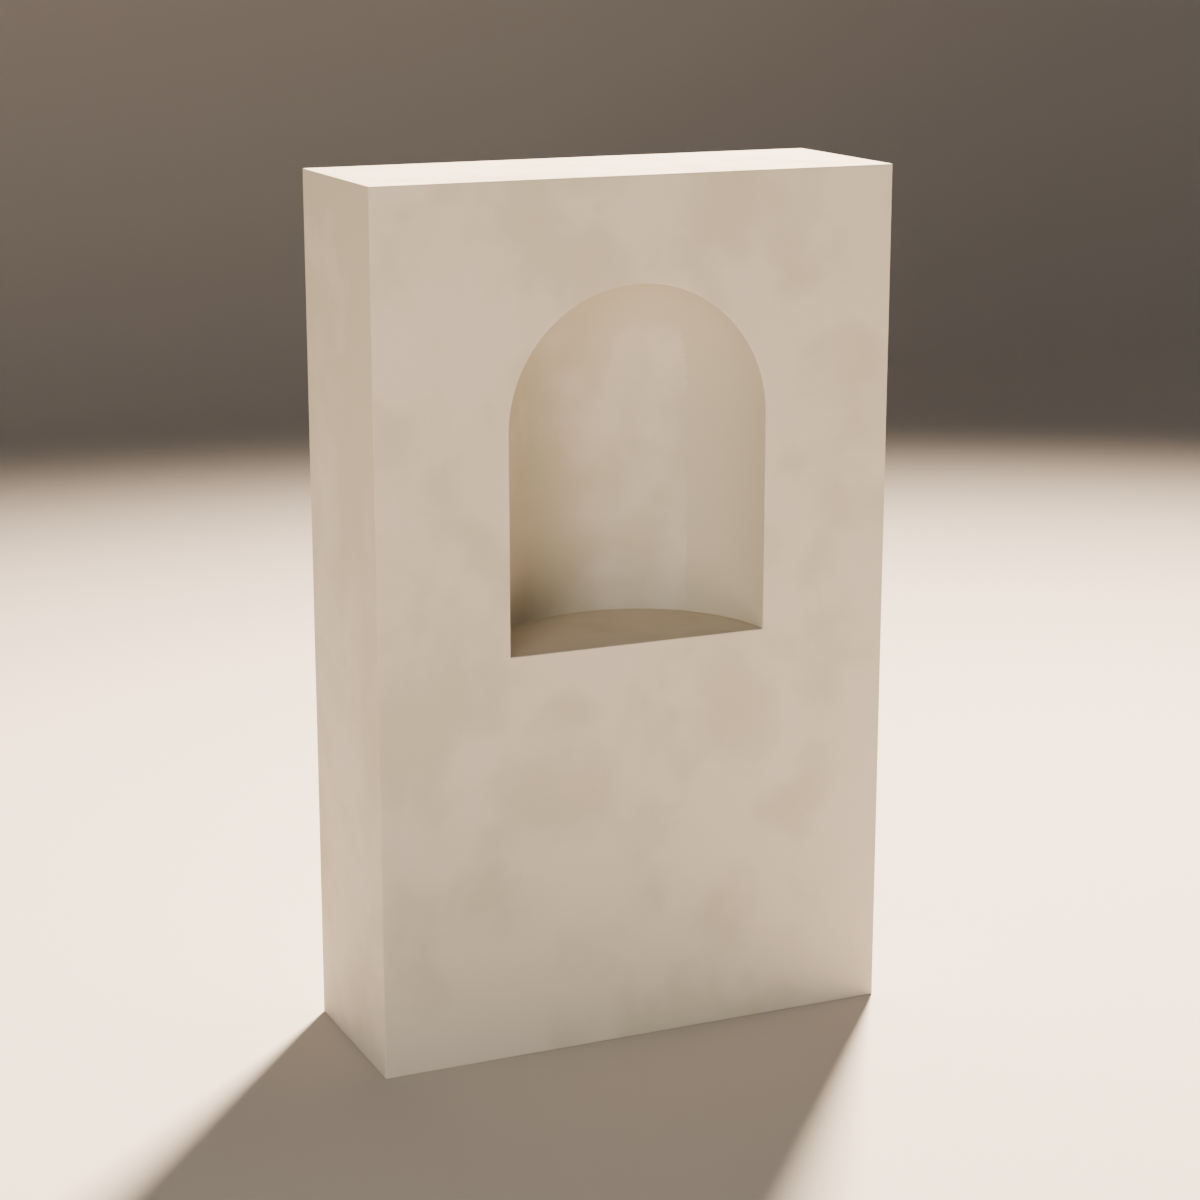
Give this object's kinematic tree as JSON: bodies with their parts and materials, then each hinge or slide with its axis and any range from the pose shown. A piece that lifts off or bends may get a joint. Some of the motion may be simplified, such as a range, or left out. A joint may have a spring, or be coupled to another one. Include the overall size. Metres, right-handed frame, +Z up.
{
  "type": "free-standing arch niche",
  "caption": "Free-standing plastered block with an arched niche in its front face, half-round in plan, with a flat floor and a quarter-sphere head.",
  "frame": {"origin": "middle of the flat underside, on the ground", "axes": "+Z up; -Y out of the front face, the one that the niche opens in; +X to the right of someone facing the front"},
  "size_m": [1, 0.35, 1.6],
  "materials": {
    "plaster": "matte"
  },
  "bodies": {
    "root": {"niche_block": "plaster"}
  },
  "joints": []
}
